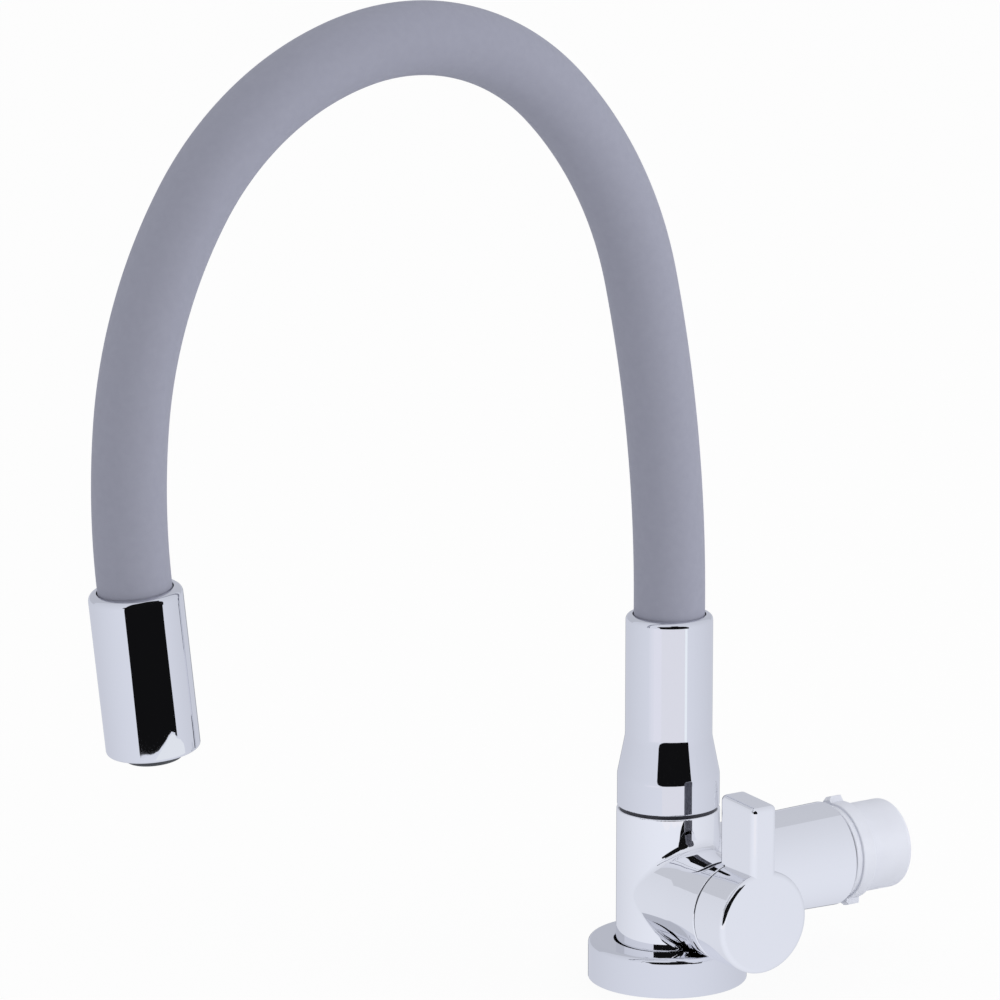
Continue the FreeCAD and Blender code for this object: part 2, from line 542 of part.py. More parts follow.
def swivel_clip():
    clip_top = COLUMN_RISE - SWIVEL_CLIP_DEPTH - FACE_GAP
    inner = SOCKET_R - SWIVEL_CLIP_GROOVE + HOSE_GAP
    outer = SOCKET_R + SWIVEL_CLIP_GROOVE - SCREWED_GAP
    return open_clip(inner, outer, clip_top - SWIVEL_CLIP_T, clip_top, COLUMN_POINT, UP)


HOSE_BENDS = ((REAR_LEG_R, REAR_LEG_ANGLE), (REAR_SHOULDER_R, REAR_SHOULDER_ANGLE), (CROWN_R, CROWN_ANGLE),
              (FRONT_SHOULDER_R, FRONT_SHOULDER_ANGLE), (FRONT_KNEE_R, FRONT_KNEE_ANGLE),
              (FRONT_LEG_R, FRONT_LEG_ANGLE))


def hose_route():
    """Middle line of the hose up, over and down into the nozzle: its wire, end point and last heading."""
    point = COLUMN_POINT + UP * (COLLAR_TOP + END_GAP)
    bend_start = COLUMN_POINT + UP * (SLEEVE_TOP + HOSE_STAND)
    edges = [Part.LineSegment(point, bend_start).toShape()]
    point = bend_start
    heading = Vector(0, 0, 1)
    for radius, angle in HOSE_BENDS:
        centre = point + Vector(0, -heading.z, heading.y) * radius
        spoke = point - centre
        half_way = centre + Rotation(OUT_OF_VALVE, angle / 2).multVec(spoke)
        end = centre + Rotation(OUT_OF_VALVE, angle).multVec(spoke)
        edges.append(Part.Arc(point, half_way, end).toShape())
        heading = Rotation(OUT_OF_VALVE, angle).multVec(heading)
        point = end
    end = point + heading * (NOZZLE_RUN + HOSE_SEAT - END_GAP)
    edges.append(Part.LineSegment(point, end).toShape())
    return Part.Wire(edges), point + heading * NOZZLE_RUN, heading


ROUTE, NOZZLE_POINT, OUTFLOW = hose_route()


def hose_layer(outer, inner):
    """Tube of the hose along its middle line."""
    start = ROUTE.Vertexes[0].Point
    solids = []
    for radius in (outer, inner):
        section = Part.Wire(Part.Circle(start, UP, radius).toShape())
        solids.append(ROUTE.makePipeShell([section], True, False))
    layer = solids[0].cut(solids[1])
    expected = math.pi * (outer ** 2 - inner ** 2) * ROUTE.Length
    print("hose layer volume over section times length:", round(layer.Volume / expected, 5))
    return layer


FITTING_END = HOSE_SEAT + FITTING_T
AERATOR_R = HOSE_R + HOSE_GAP - AERATOR_STEP
LIP_END = NOZZLE_LENGTH + AERATOR_OUT


def nozzle_shell():
    """Chromed sleeve over the hose's end, with a ledge for the outlet fitting."""
    bore = HOSE_R + HOSE_GAP
    outer = bore + NOZZLE_WALL
    corners = [(bore, 0, RIM_FLAT / 2), (outer, 0, NOZZLE_WALL - RIM_FLAT),
               (outer, NOZZLE_LENGTH, NOZZLE_ROUND), (AERATOR_R, NOZZLE_LENGTH, EDGE_BREAK),
               (AERATOR_R, FITTING_END, 0), (bore, FITTING_END, 0)]
    return turned(corners, NOZZLE_POINT, OUTFLOW)


def outlet_fitting():
    """Brass collar on the nozzle's ledge, with a tail up into the water tube."""
    collar_r = HOSE_R + HOSE_GAP - SCREWED_GAP
    tail_r = TUBE_BORE_R - TAIL_GAP
    corners = [(SPIGOT_BORE_R, HOSE_SEAT - TAIL_LENGTH, 0), (tail_r, HOSE_SEAT - TAIL_LENGTH, EDGE_BREAK),
               (tail_r, HOSE_SEAT, 0), (collar_r, HOSE_SEAT, 0), (collar_r, FITTING_END, 0),
               (SPIGOT_BORE_R, FITTING_END, 0)]
    return turned(corners, NOZZLE_POINT, OUTFLOW)


def aerator_washer():
    outer = AERATOR_R - SCREWED_GAP
    return tube(outer, outer - WASHER_RING, FITTING_END, FITTING_END + WASHER_T, NOZZLE_POINT, OUTFLOW)


def aerator_housing():
    """Plastic ring screwed into the nozzle, with a slimmer lip below the rim."""
    outer = AERATOR_R - SCREWED_GAP
    lip_r = outer - AERATOR_LIP
    bore = lip_r - AERATOR_WALL
    corners = [(bore, FITTING_END + WASHER_T, 0), (outer, FITTING_END + WASHER_T, 0),
               (outer, NOZZLE_LENGTH - EDGE_BREAK, 0), (lip_r, NOZZLE_LENGTH - EDGE_BREAK, 0),
               (lip_r, LIP_END, AERATOR_ROUND), (bore, LIP_END, 0)]
    return turned(corners, NOZZLE_POINT, OUTFLOW)


def aerator_insert():
    """Disc with rings of water jets, held in the aerator's housing."""
    outer = AERATOR_R - AERATOR_LIP - AERATOR_WALL - 2 * SCREWED_GAP
    end = LIP_END - INSERT_RECESS
    disc = tube(outer, 0, end - INSERT_T, end, NOZZLE_POINT, OUTFLOW)
    frame = Placement(NOZZLE_POINT, Rotation(UP, OUTFLOW))
    jets = []
    for ring in range(JET_RINGS + 1):
        count = max(1, 6 * ring)
        for step in range(count):
            turn = 2 * math.pi * step / count
            local = Vector(ring * JET_PITCH * math.cos(turn), ring * JET_PITCH * math.sin(turn), 0)
            jets.append(tube(JET_R, 0, end - INSERT_T, end, frame.multVec(local), OUTFLOW))
    return disc.cut(jets)


PIECES = {
    "body_casting": body_casting(),
    "foot_flange": foot_flange(),
    "flange_grip_ring": flange_grip_ring(),
    "inlet_gasket": inlet_gasket(),
    "inlet_adapter": inlet_adapter(),
    "seat_seal": seat_seal(),
    "fixed_disc": ceramic_disc(FIXED_DISC_X, 0),
    "turning_disc": ceramic_disc(TURNING_DISC_X, 90),
    "cartridge_housing": cartridge_housing(),
    "cartridge_oring": cartridge_oring(),
    "spindle": spindle(),
    "spindle_oring": spindle_oring(),
    "spindle_clip": spindle_clip(),
    "lever_handle": lever_handle(),
    "handle_screw": handle_screw(),
    "glide_ring": glide_ring(),
    "swivel_sleeve": swivel_sleeve(),
    "swivel_spigot": swivel_spigot(),
    "swivel_oring": swivel_oring(),
    "swivel_clip": swivel_clip(),
    "silicone_hose": hose_layer(HOSE_R, HOSE_R - HOSE_WALL),
    "gooseneck_core": hose_layer(CORE_R, CORE_R - CORE_WALL),
    "inner_tube": hose_layer(TUBE_R, TUBE_BORE_R),
    "outlet_fitting": outlet_fitting(),
    "nozzle_shell": nozzle_shell(),
    "aerator_washer": aerator_washer(),
    "aerator_housing": aerator_housing(),
    "aerator_insert": aerator_insert(),
}

os.makedirs("parts", exist_ok=True)
for name, shape in PIECES.items():
    if not shape.isValid() or len(shape.Solids) != 1:
        raise RuntimeError(name + " is not one valid solid")
    shape.exportStep("parts/" + name + ".step")
    print(name, round(shape.Volume, 1))
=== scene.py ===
import math
import bpy
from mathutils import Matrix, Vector


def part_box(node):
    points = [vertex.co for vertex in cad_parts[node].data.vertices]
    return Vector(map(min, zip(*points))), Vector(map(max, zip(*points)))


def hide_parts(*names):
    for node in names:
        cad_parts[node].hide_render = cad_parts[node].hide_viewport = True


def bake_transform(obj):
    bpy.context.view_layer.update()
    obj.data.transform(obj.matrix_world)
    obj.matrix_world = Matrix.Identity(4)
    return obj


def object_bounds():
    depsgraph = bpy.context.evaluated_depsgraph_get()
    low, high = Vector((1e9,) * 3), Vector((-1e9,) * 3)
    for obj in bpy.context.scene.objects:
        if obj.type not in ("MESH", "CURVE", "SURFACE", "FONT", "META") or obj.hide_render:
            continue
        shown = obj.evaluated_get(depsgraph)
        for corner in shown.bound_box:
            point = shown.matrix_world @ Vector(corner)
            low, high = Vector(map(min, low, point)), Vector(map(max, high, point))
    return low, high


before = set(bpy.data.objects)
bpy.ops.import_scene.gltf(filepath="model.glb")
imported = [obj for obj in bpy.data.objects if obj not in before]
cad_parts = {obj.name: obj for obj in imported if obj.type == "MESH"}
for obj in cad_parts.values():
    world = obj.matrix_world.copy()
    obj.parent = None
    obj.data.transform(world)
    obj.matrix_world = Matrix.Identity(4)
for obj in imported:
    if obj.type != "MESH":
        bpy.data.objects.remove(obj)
cad_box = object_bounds()


# Body: a hollow brass casting, a column with the valve branch on one side and the inlet
# branch behind it, turned at its faces, polished and plated with bright chrome.
CAST_CHROME = (0.940, 0.943, 0.957, 1.0)
CHROME_EDGE = (0.96, 0.96, 0.97, 1.0)
BEST_POLISH, WIPED_POLISH = 0.012, 0.03
GRAIN_LOW, GRAIN_HIGH = 0.3, 0.7    # the noise's own range, without its rare ends


def new_material(name, colour, roughness, metallic=0.0):
    """A material with its plain values on the shader, and the shader itself."""
    material = bpy.data.materials.new(name)
    material.use_nodes = True
    shader = material.node_tree.nodes["Principled BSDF"]
    shader.inputs["Base Color"].default_value = colour
    shader.inputs["Roughness"].default_value = roughness
    shader.inputs["Metallic"].default_value = metallic
    return material, shader


def noise(material, scale, detail=2.0):
    """Noise in the object's own metres, so that its grain has a real size."""
    nodes, links = material.node_tree.nodes, material.node_tree.links
    place = nodes.new("ShaderNodeTexCoord")
    texture = nodes.new("ShaderNodeTexNoise")
    texture.inputs["Scale"].default_value = scale
    texture.inputs["Detail"].default_value = detail
    links.new(place.outputs["Object"], texture.inputs["Vector"])
    return texture.outputs["Fac"]


def vary_roughness(material, shader, grain, low, high):
    """Let the roughness wander between two numbers with the grain."""
    nodes, links = material.node_tree.nodes, material.node_tree.links
    spread = nodes.new("ShaderNodeMapRange")
    spread.inputs["From Min"].default_value = GRAIN_LOW
    spread.inputs["From Max"].default_value = GRAIN_HIGH
    spread.inputs["To Min"].default_value = low
    spread.inputs["To Max"].default_value = high
    links.new(grain, spread.inputs["Value"])
    links.new(spread.outputs["Result"], shader.inputs["Roughness"])


def finish_nodes(material, *nodes):
    """Give the frame's own pieces a finish."""
    for node in nodes:
        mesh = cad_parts[node].data
        mesh.materials.clear()
        mesh.materials.append(material)


def bright_chrome(name, colour):
    """Polished plating: nearly a mirror, a little softer in patches where it was wiped."""
    material, shader = new_material(name, colour, WIPED_POLISH, metallic=1.0)
    shader.inputs["Specular Tint"].default_value = CHROME_EDGE
    vary_roughness(material, shader, noise(material, scale=60.0, detail=3.0),
                   low=BEST_POLISH, high=WIPED_POLISH)
    return material


finish_nodes(bright_chrome("cast_chrome", CAST_CHROME), "body_casting")


# Headwork: a brass quarter-turn cartridge screwed into the valve branch, with two lapped
# ceramic discs, a turned spindle, rubber seals and a steel spring clip.
BRASS_DARK = (0.52, 0.36, 0.13, 1.0)
BRASS_LIGHT = (0.72, 0.53, 0.24, 1.0)
RUBBER_DARK = (0.010, 0.010, 0.011, 1.0)
RUBBER_LIGHT = (0.022, 0.022, 0.024, 1.0)
CERAMIC_DARK = (0.70, 0.69, 0.66, 1.0)
CERAMIC_LIGHT = (0.80, 0.79, 0.76, 1.0)
STEEL_DARK = (0.42, 0.42, 0.43, 1.0)
STEEL_LIGHT = (0.58, 0.58, 0.59, 1.0)


def mottle(material, shader, grain, dark, light):
    """Let the colour wander between two shades with the grain."""
    nodes, links = material.node_tree.nodes, material.node_tree.links
    shades = nodes.new("ShaderNodeValToRGB")
    shades.color_ramp.elements[0].position = GRAIN_LOW
    shades.color_ramp.elements[0].color = dark
    shades.color_ramp.elements[1].position = GRAIN_HIGH
    shades.color_ramp.elements[1].color = light
    links.new(grain, shades.inputs["Fac"])
    links.new(shades.outputs["Color"], shader.inputs["Base Color"])
    return shades.outputs["Color"]


def roughen(material, shader, grain, depth, strength):
    """Raise the surface by the grain, at most depth metres."""
    nodes, links = material.node_tree.nodes, material.node_tree.links
    bump = nodes.new("ShaderNodeBump")
    bump.inputs["Distance"].default_value = depth
    bump.inputs["Strength"].default_value = strength
    links.new(grain, bump.inputs["Height"])
    links.new(bump.outputs["Normal"], shader.inputs["Normal"])


def turned_brass():
    """Brass as it leaves the lathe, with fine tool marks and a slight tarnish."""
    material, shader = new_material("turned_brass", BRASS_LIGHT, 0.25, metallic=1.0)
    mottle(material, shader, noise(material, scale=180.0, detail=4.0), BRASS_DARK, BRASS_LIGHT)
    vary_roughness(material, shader, noise(material, scale=900.0), low=0.2, high=0.38)
    roughen(material, shader, noise(material, scale=2500.0), depth=0.00002, strength=0.4)
    return material


def black_rubber():
    """Moulded rubber with a dusty, matt skin."""
    material, shader = new_material("black_rubber", RUBBER_LIGHT, 0.6)
    mottle(material, shader, noise(material, scale=300.0, detail=4.0), RUBBER_DARK, RUBBER_LIGHT)
    vary_roughness(material, shader, noise(material, scale=800.0), low=0.5, high=0.72)
    roughen(material, shader, noise(material, scale=3000.0), depth=0.00003, strength=0.5)
    return material


def lapped_ceramic():
    """Dense white alumina, ground flat."""
    material, shader = new_material("lapped_ceramic", CERAMIC_LIGHT, 0.25)
    mottle(material, shader, noise(material, scale=400.0, detail=5.0),
           CERAMIC_DARK, CERAMIC_LIGHT)
    vary_roughness(material, shader, noise(material, scale=1200.0), low=0.18, high=0.32)
    return material


def spring_steel():
    """Hardened strip and wire."""
    material, shader = new_material("spring_steel", STEEL_LIGHT, 0.3, metallic=1.0)
    mottle(material, shader, noise(material, scale=500.0, detail=4.0), STEEL_DARK, STEEL_LIGHT)
    vary_roughness(material, shader, noise(material, scale=1500.0), low=0.24, high=0.42)
    return material


brass = turned_brass()
rubber = black_rubber()
steel = spring_steel()
finish_nodes(brass, "cartridge_housing", "spindle")
finish_nodes(rubber, "seat_seal", "cartridge_oring", "spindle_oring")
finish_nodes(lapped_ceramic(), "fixed_disc", "turning_disc")
finish_nodes(steel, "spindle_clip")


# Handle: a round hub with a straight lever across it, one casting clamped on the spindle by
# a steel grub screw. Its front and sides are polished and plated. Its back, which looks at
# the column, has painted shade: a dark colour and a rougher finish on faces that look there.
# painted shade for the handle's back: a dark colour with a random mottle
BACK_SHADE_DARK = (0.15, 0.15, 0.17, 1.0)
BACK_SHADE_LIGHT = (0.22, 0.22, 0.245, 1.0)
TO_COLUMN = (-1.0, 0.0, 0.0)
SHADE_BEGINS, SHADE_FULL = 0.25, 0.4    # how squarely a face looks at the column
BACK_ROUGHNESS = 0.5


def chrome_with_painted_back_shade():
    """Bright plating with painted shade: dark and rougher on faces that look at the column."""
    material, shader = new_material("handle_chrome", CAST_CHROME, WIPED_POLISH, metallic=1.0)
    nodes, links = material.node_tree.nodes, material.node_tree.links
    shader.inputs["Specular Tint"].default_value = CHROME_EDGE
    # painted shade: the dark colour that faces towards the column take
    painted_back_shade = mottle(material, shader, noise(material, scale=700.0, detail=4.0),
                  BACK_SHADE_DARK, BACK_SHADE_LIGHT)
    place = nodes.new("ShaderNodeTexCoord")
    back = nodes.new("ShaderNodeVectorMath")
    back.operation = "DOT_PRODUCT"
    back.inputs[1].default_value = TO_COLUMN
    edge = nodes.new("ShaderNodeMapRange")
    edge.inputs["From Min"].default_value = SHADE_BEGINS
    edge.inputs["From Max"].default_value = SHADE_FULL
    tint = nodes.new("ShaderNodeMix")
    tint.data_type = "RGBA"
    tint.inputs["A"].default_value = CAST_CHROME
    polish = nodes.new("ShaderNodeMapRange")
    polish.inputs["From Min"].default_value = SHADE_BEGINS
    polish.inputs["From Max"].default_value = SHADE_FULL
    polish.inputs["To Min"].default_value = WIPED_POLISH
    polish.inputs["To Max"].default_value = BACK_ROUGHNESS
    links.new(place.outputs["Normal"], back.inputs[0])
    links.new(back.outputs["Value"], edge.inputs["Value"])
    links.new(back.outputs["Value"], polish.inputs["Value"])
    links.new(edge.outputs["Result"], tint.inputs["Factor"])
    links.new(painted_back_shade, tint.inputs["B"])
    links.new(tint.outputs["Result"], shader.inputs["Base Color"])
    links.new(polish.outputs["Result"], shader.inputs["Roughness"])
    return material


finish_nodes(chrome_with_painted_back_shade(), "lever_handle")
finish_nodes(steel, "handle_screw")


# Foot flange: a loose ring round the column's foot, turned from brass and plated a shade
# darker than the castings, held by a rubber ring in its neck.
TURNED_CHROME = (0.800, 0.808, 0.842, 1.0)
turned_chrome = bright_chrome("turned_chrome", TURNED_CHROME)
finish_nodes(turned_chrome, "foot_flange")
finish_nodes(rubber, "flange_grip_ring")


# Inlet: a white moulded adapter with a round two-lugged collar and a pipe spigot, screwed
# into the inlet branch against a thin black face seal.
WHITE_DARK = (0.690, 0.708, 0.785, 1.0)
WHITE_LIGHT = (0.722, 0.742, 0.820, 1.0)


def white_plastic():
    """Moulded white plastic, faintly cloudy, with a fine even skin."""
    material, shader = new_material("white_plastic", WHITE_LIGHT, 0.35)
    mottle(material, shader, noise(material, scale=90.0, detail=4.0), WHITE_DARK, WHITE_LIGHT)
    vary_roughness(material, shader, noise(material, scale=700.0), low=0.3, high=0.42)
    roughen(material, shader, noise(material, scale=2200.0), depth=0.00002, strength=0.3)
    return material


finish_nodes(white_plastic(), "inlet_adapter")
finish_nodes(rubber, "inlet_gasket")


# Swivel: the spout's brass spigot turns in the column's socket on a rubber seal, kept in by
# a steel clip. A dark plastic ring glides between the column and the chromed sleeve above it.
GLIDE_LOW = (0.016, 0.016, 0.024, 1.0)
GLIDE_HIGH = (0.026, 0.026, 0.038, 1.0)


def dark_plastic(name, low, high):
    """Dark moulded plastic with a satin skin."""
    material, shader = new_material(name, high, 0.4)
    mottle(material, shader, noise(material, scale=260.0, detail=4.0), low, high)
    vary_roughness(material, shader, noise(material, scale=900.0), low=0.36, high=0.5)
    roughen(material, shader, noise(material, scale=3000.0), depth=0.00002, strength=0.4)
    return material


finish_nodes(brass, "swivel_spigot")
finish_nodes(rubber, "swivel_oring")
finish_nodes(steel, "swivel_clip")
finish_nodes(dark_plastic("glide_plastic", GLIDE_LOW, GLIDE_HIGH), "glide_ring")
finish_nodes(turned_chrome, "swivel_sleeve")


# Hose: a grey silicone cover over a bendable steel core and a plastic water tube. It stands
# up from the sleeve and bends over into the nozzle, and it is held at both ends. Each layer
# is made in two halves that meet on top of the crown.
HOSE_R = 0.01026
HOSE_WALL = 0.00186
CORE_R = 0.0082
CORE_WALL = 0.0012
TUBE_R = 0.0068
TUBE_WALL = 0.0020
HOSE_STAND = 0.0041    # straight above the sleeve
HOSE_BENDS = ((0.431, 12.8), (0.1125, 31.8), (0.0694, 58.0),    # radius, degrees
              (0.0858, 45.0), (0.1322, 27.0), (0.2156, 12.0))
CROWN_BEND = 2         # the bend that the halves share
NOZZLE_RUN = 0.00035   # straight above the nozzle
HOSE_SEAT = 0.022      # hidden in the nozzle
RING_STEP = 0.0016
RING_SIDES = 96
LEAN_ABOVE_SLEEVE = 0.001
LEAN_END = (0.0070, 0.162)      # forward of the column's axis, and height
TIP_START = (0.1583, 0.2160)
TIP_END = (0.1785, 0.1146)
SILICONE_DARK = (0.296, 0.304, 0.380, 1.0)
SILICONE_LIGHT = (0.308, 0.316, 0.394, 1.0)
SILICONE_SHINE = 0.35

sleeve_low, sleeve_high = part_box("swivel_sleeve")
column_y = (sleeve_low[1] + sleeve_high[1]) / 2
hose_low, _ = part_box("silicone_hose")


def in_spout_plane(forward, height):
    """A point in the upright plane of the spout, forward of the column's axis."""
    return Vector((0.0, column_y - forward, height))


def hose_route():
    """Stations on the hose's middle line, as point and heading, split on top of the crown."""
    rear, front = [], []
    here = in_spout_plane(0.0, hose_low[2])
    heading = 0.0

    def straight(half, length):
        nonlocal here
        count = max(1, round(length / RING_STEP))
        way = Vector((0.0, -math.sin(heading), math.cos(heading)))
        for _ in range(count):
            here = here + way * (length / count)
            half.append((here.copy(), heading))

    def bend(half, radius, turn):
        nonlocal here, heading
        count = max(1, round(radius * turn / RING_STEP))
        middle = here + radius * Vector((0.0, -math.cos(heading), -math.sin(heading)))
        for _ in range(count):
            heading += turn / count
            here = middle + radius * Vector((0.0, math.cos(heading), math.sin(heading)))
            half.append((here.copy(), heading))

    rear.append((here.copy(), heading))
    straight(rear, sleeve_high[2] + HOSE_STAND - hose_low[2])
    for number, (radius, degrees) in enumerate(HOSE_BENDS):
        turn = math.radians(degrees)
        if number == CROWN_BEND:
            bend(rear, radius, turn / 2)
            front.append((here.copy(), heading))
            bend(front, radius, turn / 2)
        else:
            bend(rear if number < CROWN_BEND else front, radius, turn)
    straight(front, NOZZLE_RUN + HOSE_SEAT)
    return rear, front


def pipe(name, stations, outside, inside):
    """A closed pipe wall along the stations, its ends cut square."""
    right = Vector((1.0, 0.0, 0.0))
    points, faces = [], []
    for radius in (outside, inside):
        for here, heading in stations:
            side = Vector((0.0, math.cos(heading), math.sin(heading)))
            for step in range(RING_SIDES):
                angle = 2 * math.pi * step / RING_SIDES
                spoke = math.cos(angle) * right + math.sin(angle) * side
                points.append(here + radius * spoke)
    rings = len(stations)
    bore = rings * RING_SIDES
    for ring in range(rings - 1):
        low, high = ring * RING_SIDES, (ring + 1) * RING_SIDES
        for step in range(RING_SIDES):
            after = (step + 1) % RING_SIDES
            faces.append((low + step, low + after, high + after, high + step))
            faces.append((bore + low + after, bore + low + step,
                          bore + high + step, bore + high + after))
    smooth_faces = len(faces)
    for ring, flip in ((0, True), (rings - 1, False)):
        low = ring * RING_SIDES
        for step in range(RING_SIDES):
            after = (step + 1) % RING_SIDES
            end = (low + step, low + after, bore + low + after, bore + low + step)
            faces.append(end[::-1] if flip else end)
    mesh = bpy.data.meshes.new(name)
    mesh.from_pydata(points, [], faces)
    for face in mesh.polygons:
        face.use_smooth = face.index < smooth_faces
    end_rings = (0, rings - 1, rings, 2 * rings - 1)
    for edge in mesh.edges:
        first, second = (corner // RING_SIDES for corner in edge.vertices)
        edge.use_edge_sharp = first == second and first in end_rings
    piece = bpy.data.objects.new(name, mesh)
    bpy.context.scene.collection.objects.link(piece)
    return piece


def grey_silicone():
    """Cast silicone: soft grey, matt, with a very fine dusty skin."""
    material, shader = new_material("grey_silicone", SILICONE_LIGHT, 0.6)
    mottle(material, shader, noise(material, scale=420.0, detail=5.0),
           SILICONE_DARK, SILICONE_LIGHT)
    vary_roughness(material, shader, noise(material, scale=600.0), low=0.5, high=0.66)
    roughen(material, shader, noise(material, scale=2600.0, detail=3.0),
            depth=0.00004, strength=0.15)
    shader.inputs["Specular IOR Level"].default_value = SILICONE_SHINE
    return material


def tube_plastic():
    """Clear-white extruded water tube."""
    material, shader = new_material("tube_plastic", WHITE_LIGHT, 0.3)
    mottle(material, shader, noise(material, scale=200.0, detail=3.0), WHITE_DARK, WHITE_LIGHT)
    vary_roughness(material, shader, noise(material, scale=500.0), low=0.25, high=0.4)
    return material


rear_stations, front_stations = hose_route()
lean_start = in_spout_plane(0.0, sleeve_high[2] + LEAN_ABOVE_SLEEVE)
HOSE_HALVES = (("rear", rear_stations, ("spout_base", "hose"),
                lean_start, in_spout_plane(*LEAN_END)),
               ("front", front_stations, ("hose", "outlet"),
                in_spout_plane(*TIP_START), in_spout_plane(*TIP_END)))
HOSE_LAYERS = (("silicone_hose", "cover", HOSE_R, HOSE_WALL, grey_silicone(), "grey_silicone"),
               ("gooseneck_core", "core", CORE_R, CORE_WALL, steel, "spring_steel"),
               ("inner_tube", "tube", TUBE_R, TUBE_WALL, tube_plastic(), "tube_plastic"))
for node, layer, outside, wall, material, slot in HOSE_LAYERS:
    for half, stations, bodies, start, end in HOSE_HALVES:
        piece = pipe(f"hose_{layer}_{half}", stations, outside, outside - wall)
        piece.data.materials.append(material)
        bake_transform(piece)
        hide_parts(node)


# Outlet: a brass tail in the hose's end, screwed into a chromed nozzle sleeve, with a dark
# plastic aerator and its perforated insert below it on a rubber washer.
AERATOR_LOW = (0.048, 0.052, 0.062, 1.0)
AERATOR_HIGH = (0.064, 0.069, 0.081, 1.0)
aerator_plastic = dark_plastic("aerator_plastic", AERATOR_LOW, AERATOR_HIGH)
finish_nodes(brass, "outlet_fitting")
finish_nodes(turned_chrome, "nozzle_shell")
finish_nodes(rubber, "aerator_washer")
finish_nodes(aerator_plastic, "aerator_housing", "aerator_insert")


# Studio surroundings: white to the camera, an even fill on the object, and for reflections a
# cool white that grows dimmer away from the bright side.
SKY_FILL = 0.84
PURE_WHITE = (1.0, 1.0, 1.0, 1.0)
STUDIO_TINT = (0.835, 0.860, 0.950, 1.0)
BRIGHT_SIDE = (0.69, -0.464, -0.555)
BRIGHT_LOW, BRIGHT_HIGH = 0.775, 0.975

scene = bpy.context.scene
scene.view_settings.view_transform = "Standard"
world = bpy.data.worlds.new("studio")
scene.world = world
world.use_nodes = True
nodes, links = world.node_tree.nodes, world.node_tree.links
fill = nodes["Background"]
fill.inputs["Color"].default_value = PURE_WHITE
fill.inputs["Strength"].default_value = SKY_FILL
backdrop = nodes.new("ShaderNodeBackground")
backdrop.inputs["Color"].default_value = PURE_WHITE
mirrored = nodes.new("ShaderNodeBackground")
mirrored.inputs["Color"].default_value = STUDIO_TINT
way = nodes.new("ShaderNodeTexCoord")
along = nodes.new("ShaderNodeVectorMath")
along.operation = "DOT_PRODUCT"
along.inputs[1].default_value = BRIGHT_SIDE
grade = nodes.new("ShaderNodeMapRange")
grade.inputs["From Min"].default_value = -1.0
grade.inputs["To Min"].default_value = BRIGHT_LOW
grade.inputs["To Max"].default_value = BRIGHT_HIGH
links.new(way.outputs["Generated"], along.inputs[0])
links.new(along.outputs["Value"], grade.inputs["Value"])
links.new(grade.outputs["Result"], mirrored.inputs["Strength"])
rays = nodes.new("ShaderNodeLightPath")
reflected = nodes.new("ShaderNodeMath")
reflected.operation = "MAXIMUM"
links.new(rays.outputs["Is Glossy Ray"], reflected.inputs[0])
links.new(rays.outputs["Is Transmission Ray"], reflected.inputs[1])
lit_or_mirrored = nodes.new("ShaderNodeMixShader")
links.new(reflected.outputs["Value"], lit_or_mirrored.inputs["Fac"])
links.new(fill.outputs["Background"], lit_or_mirrored.inputs[1])
links.new(mirrored.outputs["Background"], lit_or_mirrored.inputs[2])
seen = nodes.new("ShaderNodeMixShader")
links.new(rays.outputs["Is Camera Ray"], seen.inputs["Fac"])
links.new(lit_or_mirrored.outputs["Shader"], seen.inputs[1])
links.new(backdrop.outputs["Background"], seen.inputs[2])
links.new(seen.outputs["Shader"], nodes["World Output"].inputs["Surface"])


# Floor: a wide pale sheet just under the foot flange. It is nearly white to the camera and
# keeps the object's faint shadow.
FLOOR_REACH = 15.0
FLOOR_DROP = 0.0002
FLOOR_PAINT = (0.9, 0.9, 0.9, 1.0)
FLOOR_GLOW = 0.92    # share of plain white in what the camera sees


def stage_mesh(name, points, faces, material):
    """A floor or a card: plain faces that belong to the studio."""
    mesh = bpy.data.meshes.new(name)
    mesh.from_pydata(points, [], faces)
    mesh.materials.append(material)
    card = bpy.data.objects.new(name, mesh)
    scene.collection.objects.link(card)
    return card


def white_floor():
    """A white floor that keeps a faint shadow."""
    material, shader = new_material("white_floor", FLOOR_PAINT, 1.0)
    shader.inputs["Specular IOR Level"].default_value = 0.0
    nodes, links = material.node_tree.nodes, material.node_tree.links
    glow = nodes.new("ShaderNodeEmission")
    rays = nodes.new("ShaderNodeLightPath")
    share = nodes.new("ShaderNodeMath")
    share.operation = "MULTIPLY"
    share.inputs[1].default_value = FLOOR_GLOW
    blend = nodes.new("ShaderNodeMixShader")
    links.new(rays.outputs["Is Camera Ray"], share.inputs[0])
    links.new(share.outputs["Value"], blend.inputs["Fac"])
    links.new(shader.outputs["BSDF"], blend.inputs[1])
    links.new(glow.outputs["Emission"], blend.inputs[2])
    links.new(blend.outputs["Shader"], nodes["Material Output"].inputs["Surface"])
    return material


floor_z = cad_box[0][2] - FLOOR_DROP
floor_corners = [(-FLOOR_REACH, -FLOOR_REACH, floor_z), (FLOOR_REACH, -FLOOR_REACH, floor_z),
                 (FLOOR_REACH, FLOOR_REACH, floor_z), (-FLOOR_REACH, FLOOR_REACH, floor_z)]
floor = stage_mesh("floor", floor_corners, [(0, 1, 2, 3)], white_floor())
floor.visible_glossy = False


